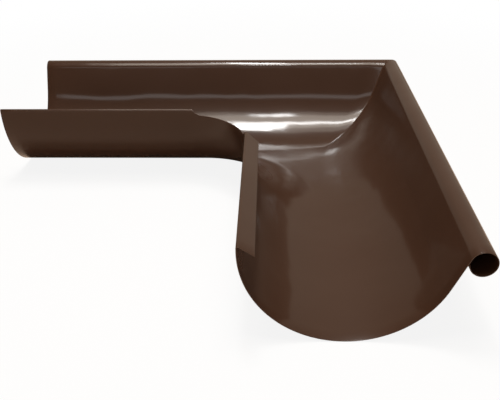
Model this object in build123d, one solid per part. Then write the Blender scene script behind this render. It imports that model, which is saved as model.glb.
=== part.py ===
"""External corner of a half-round eaves gutter, pressed in one piece from coated steel sheet.

Two gutter legs meet at a right angle round the outer corner of a building. One leg runs
towards -Y and the other towards -X, and each is the other's mirror image in the plane X = Y.
The section is drawn in u and z: u is the distance from the rear face of the gutter, at the
building, out towards the front bead, and z is the height above the underside.
"""
import os
from math import acos, cos, degrees, radians, sin, tan

from build123d import *

# Sheet
sheet = 0.6

# Trough: a half round, a short upstand at the rear and a straight slope up to the bead
trough_radius = 76.5
upstand = 2.7
front_slope = 67.0
front_length = 26.7

# Front bead: an open tube rolled outwards, its edge stopping just short of the trough
bead_radius = 10.0
bead_seam = 0.4

# Water fold: the rear edge bent inwards and down
fold_radius = 1.0
fold_slope = 34.0
fold_length = 12.8

# Legs, measured along the rear face from the building's corner
leg_length = 245.0

# Rear corner: rounded in plan at the wall, and wider with each mm out from it
corner_radius = 62.0
corner_growth = 0.63
corner_steps = 4

# Bare edge of the rear corner, lower than the water folds beside it
lip_drop = 5.4
fold_overrun = 9.0
fold_end_angle = 30.0
notch_length = 7.0
notch_hollow = 0.7

# Front corner: mitred, with the bead's outermost edge pressed round in plan
nose_radius = 4.0

outer_radius = trough_radius + sheet
bend_radius = fold_radius + sheet
bend_height = outer_radius + upstand
top_height = bend_height + bend_radius
lip_height = top_height - lip_drop


def polar(centre, radius, angle):
    """Point of the section at an angle in degrees about a centre."""
    return (centre[0] + radius * cos(radians(angle)), centre[1] + radius * sin(radians(angle)))


def arc(centre, radius, start, end):
    """Arc of the section from one angle to another, in degrees, either way round."""
    return ThreePointArc(
        polar(centre, radius, start),
        polar(centre, radius, (start + end) / 2),
        polar(centre, radius, end),
    )


def strip_face(outer, inner):
    """Face of the sheet's section between two chains of edges that run the same way."""
    first = outer[0] @ 0, inner[0] @ 0
    last = outer[-1] @ 1, inner[-1] @ 1
    edges = outer + inner + [Line(*first), Line(*last)]
    return make_face(Wire(edges))


trough_centre = (outer_radius, outer_radius)
front_angle = front_slope - 90
front_start = polar(trough_centre, trough_radius, front_angle)
front_end = polar(front_start, front_length, front_slope)
bead_centre = polar(front_end, bead_radius, front_angle)
bead_start = front_slope + 90
bead_end = bead_start - 360 + degrees(acos((bead_radius - sheet - bead_seam) / bead_radius))
front_width = bead_centre[0] + bead_radius


def rear_section():
    """Rear half of the section: the trough, the upstand, its tight bend and the water fold."""
    bend_centre = (bend_radius, bend_height)
    bend_end = 90 - fold_slope
    outer_end = polar(bend_centre, bend_radius, bend_end)
    inner_end = polar(bend_centre, fold_radius, bend_end)
    outer = [
        arc(trough_centre, outer_radius, 270, 180),
        Line((0, outer_radius), (0, bend_height)),
        arc(bend_centre, bend_radius, 180, bend_end),
        Line(outer_end, polar(outer_end, fold_length, -fold_slope)),
    ]
    inner = [
        arc(trough_centre, trough_radius, 270, 180),
        Line((sheet, outer_radius), (sheet, bend_height)),
        arc(bend_centre, fold_radius, 180, bend_end),
        Line(inner_end, polar(inner_end, fold_length, -fold_slope)),
    ]
    return strip_face(outer, inner)


def front_section():
    """Front half of the section: the trough, the straight slope and the bead."""
    dry = polar(front_start, sheet, front_angle), polar(front_end, sheet, front_angle)
    water_side = [
        arc(trough_centre, trough_radius, -90, front_angle),
        Line(front_start, front_end),
        arc(bead_centre, bead_radius, bead_start, bead_end),
    ]
    dry_side = [
        arc(trough_centre, outer_radius, -90, front_angle),
        Line(*dry),
        arc(bead_centre, bead_radius - sheet, bead_start, bead_end),
    ]
    return strip_face(dry_side, water_side)


def along_leg(section, start, end):
    """Section of the -Y leg drawn out between two distances from the building's corner."""
    return extrude(Plane.XZ.offset(start) * section, amount=end - start)


def corner_plane(turn):
    """Upright plane of the rear corner's section at a turn in degrees, and its stretch there."""
    heading = Vector(cos(radians(turn)), sin(radians(turn)), 0)
    origin = corner_radius * (heading - Vector(1, 1, 0))
    out = corner_growth * heading + (1 - corner_growth) * Vector(1, 1, 0)
    return Plane(origin, x_dir=out, z_dir=out.cross(Vector(0, 0, 1))), out.length


def round_corner(section):
    """Section carried on from the leg's straight part, round the building's corner."""
    stages = []
    for step in range(corner_steps + 1):
        plane, stretch = corner_plane(45 * step / corner_steps)
        stages.append(plane * scale(section, by=(stretch, 1, 1)))
    return loft(stages)


def bottom_flat(corner):
    """Flat of the bottom between the rounded rear corner and the straight bottom line."""
    rim = corner.edges().sort_by(Axis.Z)[0]
    mitre = Vector(outer_radius, outer_radius, 0)
    outline = make_face(Wire([rim, Line(rim @ 1, mitre), Line(mitre, rim @ 0)]))
    return extrude(outline, amount=sheet, dir=(0, 0, 1))


def lip_cutter():
    """Waste above the corner's bare edge, with the hollow step beside the water fold."""
    start = fold_overrun - corner_radius
    end = start + notch_length
    step = (start, bend_height), (end, lip_height)
    waste = [
        SagittaArc(*step, -notch_hollow),
        Line((end, lip_height), (corner_radius, lip_height)),
        Line((corner_radius, lip_height), (corner_radius, 2 * top_height)),
        Line((corner_radius, 2 * top_height), (start, 2 * top_height)),
        Line((start, 2 * top_height), (start, bend_height)),
    ]
    outline = make_face(Wire(waste))
    return extrude(Plane.YZ.offset(-corner_radius) * outline, amount=2 * corner_radius)


def fold_cutter():
    """Waste beyond the slanted cut that ends the water fold a little way into the corner."""
    end = fold_overrun - corner_radius
    slant = corner_radius * tan(radians(fold_end_angle))
    corners = [
        (-corner_radius, end + slant),
        (corner_radius, end - slant),
        (corner_radius, corner_radius),
        (-corner_radius, corner_radius),
    ]
    beyond = make_face(Polyline(*corners, close=True))
    wall = Pos(-corner_radius, -corner_radius) * Circle(corner_radius + bend_radius)
    over_wall = extrude(Plane.XY.offset(bend_height) * beyond, amount=top_height)
    beside_wall = extrude(Plane.XY.offset(bend_height - fold_length) * (beyond - wall), amount=top_height)
    return over_wall + beside_wall


def rear_half():
    """Rear wall, water fold and bottom flat of one leg, carried round to the plane X = Y."""
    section = rear_section()
    leg = along_leg(section, -outer_radius, leg_length)
    leg = split(leg, bisect_by=corner_plane(0)[0], keep=Keep.TOP)
    corner = round_corner(section)
    return leg + corner + bottom_flat(corner) - lip_cutter() - fold_cutter()


def front_half():
    """Front of one leg, mitred at the plane X = Y, and rounded there where the bead is outermost."""
    nose_centre = front_width - nose_radius
    section = front_section()
    outermost = section & Pos(nose_centre + nose_radius, 0) * Rectangle(2 * nose_radius, 4 * top_height)
    mitred = along_leg(section - outermost, -front_width, leg_length)
    mitred = split(mitred, bisect_by=Plane((0, 0, 0), z_dir=(-1, 1, 0)), keep=Keep.BOTTOM)
    straight = along_leg(outermost, -nose_centre, leg_length)
    nose_axis = Axis((nose_centre, nose_centre, 0), (0, 0, 1))
    nose = revolve(Plane.XZ.offset(-nose_centre) * outermost, axis=nose_axis, revolution_arc=45)
    return mitred + straight + nose


def gutter_corner():
    """The whole pressing: one half and its mirror image, moved to the centre of its base."""
    half = front_half() + rear_half()
    whole = half + mirror(half, about=Plane((0, 0, 0), z_dir=(-1, 1, 0)))
    centre = (front_width - leg_length) / 2
    return Pos(-centre, -centre, 0) * whole


os.makedirs("parts", exist_ok=True)
part = gutter_corner()
part.label = "gutter_corner"
export_step(part, "parts/gutter_corner.step")
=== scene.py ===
"""External corner of a half-round eaves gutter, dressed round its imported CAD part.

One pressing of coated steel sheet: two legs, a rounded rear corner, a mitred front with a
rolled bead, and a water fold along each rear edge. All sizes are in metres.
"""
from math import acos, asin, cos, degrees, pi, radians, sin, tan

import bpy
from mathutils import Matrix, Vector


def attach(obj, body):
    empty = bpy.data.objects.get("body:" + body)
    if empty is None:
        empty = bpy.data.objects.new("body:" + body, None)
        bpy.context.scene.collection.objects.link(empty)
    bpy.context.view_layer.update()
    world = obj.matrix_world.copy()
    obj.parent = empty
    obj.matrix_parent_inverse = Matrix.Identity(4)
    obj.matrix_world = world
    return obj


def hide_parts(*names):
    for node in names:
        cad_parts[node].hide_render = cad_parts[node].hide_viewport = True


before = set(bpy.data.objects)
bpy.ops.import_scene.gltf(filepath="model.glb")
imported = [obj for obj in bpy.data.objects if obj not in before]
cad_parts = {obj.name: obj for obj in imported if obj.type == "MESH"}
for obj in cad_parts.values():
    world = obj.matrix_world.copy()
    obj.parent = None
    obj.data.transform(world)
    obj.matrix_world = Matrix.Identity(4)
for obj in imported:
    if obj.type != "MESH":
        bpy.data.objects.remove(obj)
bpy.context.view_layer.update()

# --- Profile of the sheet ---------------------------------------------------------------
# The water side of the sheet's section, from the free edge of the water fold, down the rear
# wall, round the trough and up the straight front to the end of the bead's curl. Here u runs
# out from the rear face and z up from the underside, and each run ends in its count of steps.
sheet = 0.0006
trough_radius = 0.0765
trough_depth = trough_radius + sheet
upstand = 0.0027
upstand_top = trough_depth + upstand
lip_height = 0.076
fold_bend = 0.001
fold_slope = 34
fold_length = 0.0128
front_slope = 67
front_length = 0.0267
bead_radius = 0.010
bead_seam = 0.0004


def polar(centre, radius, angle):
    """Point of the profile at an angle in degrees about a centre."""
    return centre[0] + radius * cos(radians(angle)), centre[1] + radius * sin(radians(angle))


def along(start, end, steps):
    """Even steps from one point of the profile to another, both of them included."""
    (u0, z0), (u1, z1) = start, end
    shares = [step / steps for step in range(steps + 1)]
    return [(u0 + (u1 - u0) * share, z0 + (z1 - z0) * share) for share in shares]


def curl(centre, radius, start, end, steps):
    """Even steps of an arc of the profile, both ends included."""
    angles = [start + (end - start) * step / steps for step in range(steps + 1)]
    return [polar(centre, radius, angle) for angle in angles]


trough = trough_depth, trough_depth
bend = sheet + fold_bend, upstand_top
fold_root = polar(bend, fold_bend, 90 - fold_slope)
fold_edge = polar(fold_root, fold_length, -fold_slope)
front_foot = polar(trough, trough_radius, front_slope - 90)
front_head = polar(front_foot, front_length, front_slope)
bead = polar(front_head, bead_radius, front_slope - 90)
bead_width = bead[0] + bead_radius
curl_end = front_slope - 270 + degrees(acos((bead_radius - sheet - bead_seam) / bead_radius))
lip_angle = 180 + degrees(asin((trough_depth - lip_height) / trough_radius))
flat_start, flat_end = 262, 278  # angles between which the rear corner passes into the mitre
runs = [
    along(fold_edge, fold_root, 6),
    curl(bend, fold_bend, 90 - fold_slope, 180, 12),
    along((sheet, upstand_top), (sheet, trough_depth), 3),
    curl(trough, trough_radius, 180, lip_angle, 1),
    curl(trough, trough_radius, lip_angle, flat_start, 40),
    curl(trough, trough_radius, flat_start, flat_end, 28),
    curl(trough, trough_radius, flat_end, 270 + front_slope, 34),
    along(front_foot, front_head, 8),
    curl(bead, bead_radius, front_slope + 90, curl_end, 84),
]
profile = runs[0] + [point for stretch in runs[1:] for point in stretch[1:]]
above_lip = sum(len(stretch) - 1 for stretch in runs[:4])

# --- Pressing ---------------------------------------------------------------------------
# The whole corner is one piece of sheet, drawn over a die. The profile is carried along a
# leg to the mitre, at the rear in an arc that widens out from the wall, and at the front in
# a tight crease. Its rear edge ends in a slanted cut. The other half is its mirror image.
leg_length = 0.245
corner_radius = 0.062
corner_growth = 0.63
crease_radius = 0.0024
nose_radius = 0.004
before_corner = 0.066
fold_overrun = 0.009
fold_end_angle = 30
notch_length = 0.007
notch_hollow = 0.0007
leg_columns, notch_columns, corner_columns = 16, 14, 16


def cut_at(u, z):
    """Where the sheet of one leg ends at a point of the profile above the bare lip."""
    slanted = fold_overrun - corner_radius - u * tan(radians(fold_end_angle))
    if z >= upstand_top or u > sheet + fold_bend:
        return slanted
    fall = (upstand_top - z) / (upstand_top - lip_height)
    foot = fold_overrun - corner_radius + notch_length
    start = fold_overrun - corner_radius - sheet * tan(radians(fold_end_angle))
    return start + (foot - start) * fall - 4 * notch_hollow * fall * (1 - fall)


strip = bpy.data.meshes.new("profile")
links = [(place, place + 1) for place in range(len(profile) - 1)]
strip.from_pydata([(u, 0, z) for u, z in profile], links, [])
# Upper is 2 above the bare lip, 1 on it and 0 below it.
cut = strip.attributes.new("cut", "FLOAT", "POINT")
upper = strip.attributes.new("upper", "FLOAT", "POINT")
for row, (u, z) in enumerate(profile):
    cut.data[row].value = cut_at(u, z) if row <= above_lip else 0
    upper.data[row].value = (row < above_lip) + (row <= above_lip)

tree = bpy.data.node_groups.new("pressed_corner", "GeometryNodeTree")
tree.is_modifier = True
interface = tree.interface
interface.new_socket("Profile", in_out="INPUT", socket_type="NodeSocketGeometry")
sizes = {
    "Leg length": leg_length,
    "Corner radius": corner_radius,
    "Corner growth": corner_growth,
    "Crease radius": crease_radius,
    "Nose start": bead_width - nose_radius,
    "Flat start": polar(trough, trough_radius, flat_start)[0],
    "Flat end": polar(trough, trough_radius, flat_end)[0],
    "Before corner": before_corner,
    "Notch end angle": asin((fold_overrun + notch_length) / corner_radius),
    "Base centre": (leg_length - bead_width) / 2,
}
counts = {
    "Leg columns": leg_columns,
    "Notch columns": notch_columns,
    "Corner columns": corner_columns,
}
for name in sizes:
    interface.new_socket(name, in_out="INPUT", socket_type="NodeSocketFloat")
for name in counts:
    interface.new_socket(name, in_out="INPUT", socket_type="NodeSocketInt")
interface.new_socket("Finish", in_out="INPUT", socket_type="NodeSocketMaterial")
interface.new_socket("Sheet", in_out="OUTPUT", socket_type="NodeSocketGeometry")
given = tree.nodes.new("NodeGroupInput").outputs


def put(nodes_of, kind, inputs=(), **settings):
    """A new node with its settings, and its inputs filled from values or other nodes' sockets."""
    node = nodes_of.nodes.new(kind)
    for name, value in settings.items():
        setattr(node, name, value)
    pairs = inputs.items() if isinstance(inputs, dict) else enumerate(inputs)
    for key, value in pairs:
        if isinstance(value, bpy.types.NodeSocket):
            nodes_of.links.new(value, node.inputs[key])
        else:
            node.inputs[key].default_value = value
    return node


def calc(operation, *values, nodes_of=tree):
    """Result of one sum in a node tree."""
    return put(nodes_of, "ShaderNodeMath", values, operation=operation).outputs[0]


def count_up(first, last):
    """How far a column has come, from 0 to 1, between two column numbers."""
    span = {"Value": column, "From Min": first, "From Max": last}
    return put(tree, "ShaderNodeMapRange", span).outputs[0]


def mix(share, low, high):
    """Value between two others."""
    return calc("MULTIPLY_ADD", share, calc("SUBTRACT", high, low), low)


rows = put(tree, "GeometryNodeAttributeDomainSize", [given["Profile"]]).outputs["Point Count"]
notch_start = given["Leg columns"]
notch_stop = calc("ADD", notch_start, given["Notch columns"])
mitre = calc("ADD", notch_stop, given["Corner columns"])
grid = put(tree, "GeometryNodeMeshGrid", [1, 1, calc("ADD", mitre, 1), rows]).outputs["Mesh"]
number = tree.nodes.new("GeometryNodeInputIndex").outputs[0]
column = calc("FLOOR", calc("DIVIDE", number, rows))
row = calc("SUBTRACT", number, calc("MULTIPLY", column, rows))


def of_row(field, kind):
    """A value that the profile's points carry, read for each point of the grid."""
    sample = put(tree, "GeometryNodeSampleIndex", data_type=kind)
    tree.links.new(given["Profile"], sample.inputs["Geometry"])
    tree.links.new(field, sample.inputs["Value"])
    tree.links.new(row, sample.inputs["Index"])
    return sample.outputs[0]


def named(name):
    """A named value of the profile's points."""
    reader = put(tree, "GeometryNodeInputNamedAttribute", [name], data_type="FLOAT")
    return of_row(reader.outputs["Attribute"], "FLOAT")


place = of_row(tree.nodes.new("GeometryNodeInputPosition").outputs[0], "FLOAT_VECTOR")
u, _, z = put(tree, "ShaderNodeSeparateXYZ", [place]).outputs
rear_round = calc("MULTIPLY_ADD", u, given["Corner growth"], given["Corner radius"])
front_round = calc("MAXIMUM", given["Crease radius"], calc("SUBTRACT", u, given["Nose start"]))
flat = {"Value": u, "From Min": given["Flat start"], "From Max": given["Flat end"]}
past_flat = put(tree, "ShaderNodeMapRange", flat, interpolation_type="SMOOTHSTEP").outputs[0]
arc = mix(past_flat, rear_round, front_round)
centre = calc("SUBTRACT", u, arc)
cut_place = named("cut")
cut_turn = calc("ARCSINE", calc("DIVIDE", calc("SUBTRACT", cut_place, centre), arc))
cut_round = calc("MULTIPLY_ADD", cut_turn, arc, centre)
straight_cut = calc("LESS_THAN", cut_place, centre)
cut_stop = mix(straight_cut, cut_round, cut_place)
free_stop = calc("MULTIPLY_ADD", given["Notch end angle"], arc, centre)
on_edge = calc("GREATER_THAN", named("upper"), 0.5)
stop = mix(on_edge, free_stop, cut_stop)
mitre_stop = calc("MULTIPLY_ADD", pi / 4, arc, centre)
leg_end = calc("MULTIPLY", given["Leg length"], -1)
bend_start = calc("MULTIPLY", given["Before corner"], -1)
to_stop = calc("MULTIPLY", count_up(notch_start, notch_stop), calc("SUBTRACT", stop, bend_start))
to_mitre = calc("MULTIPLY", count_up(notch_stop, mitre), calc("SUBTRACT", mitre_stop, stop))
way = mix(count_up(0, notch_start), leg_end, bend_start)
way = calc("ADD", way, to_stop)
way = calc("ADD", way, to_mitre)
turn = calc("MAXIMUM", calc("DIVIDE", calc("SUBTRACT", way, centre), arc), 0)
out = calc("MULTIPLY_ADD", calc("COSINE", turn), arc, centre)
forth = calc("MULTIPLY_ADD", calc("SINE", turn), arc, calc("MINIMUM", way, centre))
x = calc("ADD", out, given["Base centre"])
y = calc("ADD", forth, given["Base centre"])


def placed(first, second):
    """The grid with its points set to the pressing's own, one leg's way round or the other's."""
    target = put(tree, "ShaderNodeCombineXYZ", [first, second, z]).outputs[0]
    moved = put(tree, "GeometryNodeSetPosition", {"Geometry": grid, "Position": target}).outputs[0]
    above = calc("GREATER_THAN", named("upper"), 1.5)
    gone = calc("MULTIPLY", above, calc("GREATER_THAN", column, calc("ADD", notch_stop, 0.5)))
    waste = {"Geometry": moved, "Selection": gone}
    return put(tree, "GeometryNodeDeleteGeometry", waste, domain="POINT").outputs[0]


turned = put(tree, "GeometryNodeFlipFaces", [placed(x, y)]).outputs[0]
halves = tree.nodes.new("GeometryNodeJoinGeometry")
tree.links.new(turned, halves.inputs[0])
tree.links.new(placed(y, x), halves.inputs[0])
closeness = 1e-6
joined = {"Geometry": halves.outputs[0], "Distance": closeness}
whole = put(tree, "GeometryNodeMergeByDistance", joined).outputs[0]
smooth = {"Geometry": whole, "Shade Smooth": True}
soft = put(tree, "GeometryNodeSetShadeSmooth", smooth).outputs[0]
finished = {"Geometry": soft, "Material": given["Finish"]}
coated = put(tree, "GeometryNodeSetMaterial", finished).outputs[0]
put(tree, "NodeGroupOutput", [coated])

# --- Finish -----------------------------------------------------------------------------
# Both sides carry a glossy chocolate-brown coat, baked on before the sheet was pressed. It
# has a faint orange peel, and the pressing has left shallow waves and ripples in the sheet.
# The sheared edges show the steel's zinc through a smear of coat.
coat_look = bpy.data.node_groups.new("sheet_coat", "ShaderNodeTree")
taken = {
    "Tone": "Color",
    "Other tone": "Color",
    "Gloss": "Float",
    "Peel height": "Float",
    "Ripple height": "Float",
    "Wave height": "Float",
}
for name, kind in taken.items():
    coat_look.interface.new_socket(name, in_out="INPUT", socket_type="NodeSocket" + kind)
for name, kind in {"Color": "Color", "Roughness": "Float", "Normal": "Vector"}.items():
    coat_look.interface.new_socket(name, in_out="OUTPUT", socket_type="NodeSocket" + kind)
look_in = coat_look.nodes.new("NodeGroupInput").outputs
spot = coat_look.nodes.new("ShaderNodeTexCoord").outputs["Object"]


def noise(patches_per_metre, detail):
    """Cloudy pattern on the object's own coordinates."""
    pattern = {"Vector": spot, "Scale": patches_per_metre, "Detail": detail}
    return put(coat_look, "ShaderNodeTexNoise", pattern).outputs["Fac"]


def raised(height, pattern, below=None):
    """Normal of a surface that a pattern raises by a height, over another such normal."""
    relief = {"Strength": 1.0, "Distance": look_in[height], "Height": pattern}
    if below:
        relief["Normal"] = below
    return put(coat_look, "ShaderNodeBump", relief).outputs[0]


tone = put(coat_look, "ShaderNodeMix", data_type="RGBA")
coat_look.links.new(noise(18, 2.0), tone.inputs["Factor"])
coat_look.links.new(look_in["Tone"], tone.inputs[6])
coat_look.links.new(look_in["Other tone"], tone.inputs[7])
uneven_gloss = 0.04
rough = calc("MULTIPLY_ADD", noise(60, 2.0), uneven_gloss, look_in["Gloss"], nodes_of=coat_look)
waves = raised("Wave height", noise(14, 0.0))
ripples = raised("Ripple height", noise(48, 0.0), waves)
peel = raised("Peel height", noise(700, 1.0), ripples)
put(coat_look, "NodeGroupOutput", {"Color": tone.outputs[2], "Roughness": rough, "Normal": peel})


def coated_material(name, values, own):
    """Material with the coat's shared look and its own plain values."""
    material = bpy.data.materials.new(name)
    material.use_nodes = True
    shader = material.node_tree.nodes["Principled BSDF"]
    look = put(material.node_tree, "ShaderNodeGroup", values, node_tree=coat_look)
    fed = {"Base Color": "Color", "Roughness": "Roughness", "Normal": "Normal"}
    fed["Coat Normal"] = "Normal"
    for key, result in fed.items():
        material.node_tree.links.new(look.outputs[result], shader.inputs[key])
    for key, value in own.items():
        shader.inputs[key].default_value = value
    return material


brown_coat = coated_material(
    "brown_coat",
    {
        "Tone": (0.059, 0.0265, 0.0145, 1),
        "Other tone": (0.066, 0.0300, 0.0170, 1),
        "Gloss": 0.38,
        "Peel height": 0.000003,
        "Ripple height": 0.00020,
        "Wave height": 0.0018,
    },
    {"Specular IOR Level": 0.15, "Coat Weight": 1.0, "Coat Roughness": 0.11},
)
cut_edge = coated_material(
    "cut_edge",
    {
        "Tone": (0.14, 0.095, 0.075, 1),
        "Other tone": (0.24, 0.18, 0.15, 1),
        "Gloss": 0.3,
        "Peel height": 0.00001,
        "Ripple height": 0.0,
        "Wave height": 0.0,
    },
    {"Metallic": 0.4, "Coat Weight": 1.0, "Coat Roughness": 0.2},
)

# --- Making -----------------------------------------------------------------------------
# The tree's result becomes a plain sheet, which then gets its real thickness on the dry side
# and its sheared edges. The shears have drawn the coat a little way round their corners.
drawn_width = 0.00018
sharp_angle = radians(50)
coat_place, edge_place = 0, 1  # places of the two finishes in the mesh's list


def plain(thing, name):
    """The evaluated shape of an object as a plain mesh."""
    bpy.context.view_layer.update()
    evaluated = thing.evaluated_get(bpy.context.evaluated_depsgraph_get())
    mesh = bpy.data.meshes.new_from_object(evaluated)
    mesh.name = name
    return mesh


corner = bpy.data.objects.new("gutter_pressing", strip)
bpy.context.scene.collection.objects.link(corner)
press = corner.modifiers.new("press", "NODES")
press.node_group = tree
keys = {item.name: item.identifier for item in interface.items_tree if item.in_out == "INPUT"}
for name, value in {**sizes, **counts, "Finish": brown_coat}.items():
    press[keys[name]] = value
pressed = plain(corner, "pressed_sheet")
pressed.materials.pop(index=0)  # the empty place that the tree's grid came with
corner.modifiers.remove(press)
corner.data = pressed
pressed.materials.append(cut_edge)
thick = corner.modifiers.new("sheet", "SOLIDIFY")
thick.thickness = sheet
thick.offset = -1
thick.use_even_offset = True
thick.use_quality_normals = True
thick.material_offset_rim = edge_place
sharp = plain(corner, "sharp_pressing")
corner.modifiers.remove(thick)
corner.data = sharp
finishes = {edge.key: set() for edge in sharp.edges}
for polygon in sharp.polygons:
    for key in polygon.edge_keys:
        finishes[key].add(polygon.material_index)
weights = sharp.attributes.new("bevel_weight_edge", "FLOAT", "EDGE")
weights.data.foreach_set("value", [float(len(finishes[edge.key]) > 1) for edge in sharp.edges])
drawn = corner.modifiers.new("drawn_edges", "BEVEL")
drawn.limit_method = "WEIGHT"
drawn.width = drawn_width
drawn.segments = 2
drawn.material = coat_place
drawn.use_clamp_overlap = False
solid = plain(corner, "gutter_pressing")
corner.modifiers.remove(drawn)
corner.data = solid
solid.set_sharp_from_angle(angle=sharp_angle)
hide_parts("gutter_corner")
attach(corner, "root")

# --- Studio -----------------------------------------------------------------------------
# A white sheet of paper on the floor of a dim warm room, lit from above. The camera sees the
# paper white, with a faint shadow beside the part, and the part's gloss mirrors the room, its
# lighter wall and its lamps.
room = bpy.data.worlds.new("room")
bpy.context.scene.world = room
room.use_nodes = True
room_tree = room.node_tree
sky = room_tree.nodes["Background"]
heading = room_tree.nodes.new("ShaderNodeTexCoord").outputs["Generated"]
wall_side = (0.26, 0.97, 0)
facing = put(room_tree, "ShaderNodeVectorMath", [heading, wall_side], operation="DOT_PRODUCT")
ramp = {"Value": facing.outputs["Value"], "From Min": 0.15, "From Max": 0.9}
behind = put(room_tree, "ShaderNodeMapRange", ramp, interpolation_type="SMOOTHSTEP").outputs[0]
wall = put(room_tree, "ShaderNodeMix", data_type="RGBA")
wall.inputs[6].default_value = (0.08, 0.064, 0.050, 1)
wall.inputs[7].default_value = (0.33, 0.27, 0.215, 1)
room_tree.links.new(behind, wall.inputs["Factor"])
room_tree.links.new(wall.outputs[2], sky.inputs["Color"])
rays = room_tree.nodes.new("ShaderNodeLightPath").outputs
white = put(room_tree, "ShaderNodeBackground", [(1, 1, 1, 1), 1.0]).outputs[0]
sights = [rays["Is Camera Ray"], sky.outputs[0], white]
shown = put(room_tree, "ShaderNodeMixShader", sights).outputs[0]
room_tree.links.new(shown, room_tree.nodes["World Output"].inputs["Surface"])

reach = 6.0
floor_mesh = bpy.data.meshes.new("floor")
floor_corners = [(-reach, -reach, 0), (reach, -reach, 0), (reach, reach, 0), (-reach, reach, 0)]
floor_mesh.from_pydata(floor_corners, [], [(0, 1, 2, 3)])
floor = bpy.data.objects.new("floor", floor_mesh)
bpy.context.scene.collection.objects.link(floor)
paper = bpy.data.materials.new("paper")
paper.use_nodes = True
paper_tree = paper.node_tree
matt = paper_tree.nodes["Principled BSDF"]
matt.inputs["Base Color"].default_value = (0.50, 0.38, 0.30, 1)
matt.inputs["Roughness"].default_value = 0.9
matt.inputs["Specular IOR Level"].default_value = 0.0
pale = put(paper_tree, "ShaderNodeBsdfDiffuse", [(0.95, 0.95, 0.95, 1)]).outputs[0]
glow = put(paper_tree, "ShaderNodeEmission", [(1, 1, 1, 1), 1.0]).outputs[0]
spread = paper_tree.nodes.new("ShaderNodeTexCoord").outputs["Object"]
distance = put(paper_tree, "ShaderNodeVectorMath", [spread], operation="LENGTH").outputs["Value"]
fading = {"Value": distance, "From Min": 0.3, "From Max": 0.9, "To Min": 0.88, "To Max": 1.0}
fade = put(paper_tree, "ShaderNodeMapRange", fading, interpolation_type="SMOOTHSTEP")
whiteness = fade.outputs[0]
lit = put(paper_tree, "ShaderNodeMixShader", [whiteness, pale, glow]).outputs[0]
seen = paper_tree.nodes.new("ShaderNodeLightPath").outputs["Is Camera Ray"]
both = put(paper_tree, "ShaderNodeMixShader", [seen, matt.outputs[0], lit]).outputs[0]
paper_tree.links.new(both, paper_tree.nodes["Material Output"].inputs["Surface"])
floor_mesh.materials.append(paper)


def softbox(name, place, target, size, strength, tint=(1, 1, 1), turn=0):
    """Flat soft light of a width and height and a surface brightness, aimed at a point."""
    lamp = bpy.data.lights.new(name, "AREA")
    lamp.shape = "RECTANGLE"
    lamp.size, lamp.size_y = size
    lamp.energy = strength * pi * size[0] * size[1]
    lamp.color = tint
    thing = bpy.data.objects.new(name, lamp)
    thing.location = place
    aim = (Vector(target) - Vector(place)).to_track_quat("-Z", "Y").to_matrix()
    thing.rotation_euler = (aim @ Matrix.Rotation(radians(turn), 3, "Z")).to_euler()
    thing.visible_camera = False
    bpy.context.scene.collection.objects.link(thing)


warm, pale_warm = (1.0, 0.80, 0.64), (1.0, 0.90, 0.78)
softbox("ceiling", (0.0, -0.085, 1.60), (0.0, -0.085, 0), (0.96, 0.67), 2.9, pale_warm)
softbox("ceiling_edge", (0.05, -0.05, 1.61), (0.05, -0.05, 0), (1.2, 1.14), 1.5, pale_warm)
softbox("long_lamp", (0.14, 0.0, 1.59), (0.14, 0.0, 0), (0.44, 0.12), 20)
softbox("broad_lamp", (-0.02, 0.22, 1.59), (-0.02, 0.22, 0), (0.17, 0.36), 34, turn=14)
softbox("small_lamp", (0.06, -0.44, 1.59), (0.06, -0.44, 0), (0.15, 0.16), 24, turn=-20)
softbox("low_strip", (0.0, -1.65, 1.38), (0.0, 0.0, 0.05), (1.9, 0.22), 1.3)
softbox("front_panel", (-0.1, -1.75, 0.30), (-0.1, 0.0, 0.05), (1.8, 0.5), 1.5, warm)

# --- Camera -----------------------------------------------------------------------------
# The photograph's own viewpoint, a little above the open top and looking along the near leg.
camera_place = (0.05632, -0.58951, 0.33040)
look_down, look_aside, lean = radians(29.359), radians(-1.834), radians(0.730)
flat_look = cos(look_down)
forward = Vector((sin(look_aside) * flat_look, cos(look_aside) * flat_look, -sin(look_down)))
level = Vector((cos(look_aside), -sin(look_aside), 0))
down = forward.cross(level)
across = cos(lean) * level + sin(lean) * down
lower = cos(lean) * down - sin(lean) * level
lens = bpy.data.cameras.new("camera")
lens.lens, lens.sensor_width = 48.77, 36.0
lens.clip_start, lens.clip_end = 0.01, 50.0
camera = bpy.data.objects.new("camera", lens)
turned_so = Matrix((across, -lower, -forward)).transposed()
camera.matrix_world = Matrix.Translation(camera_place) @ turned_so.to_4x4()
bpy.context.scene.collection.objects.link(camera)
bpy.context.scene.camera = camera
bpy.context.scene.view_settings.view_transform = "Standard"
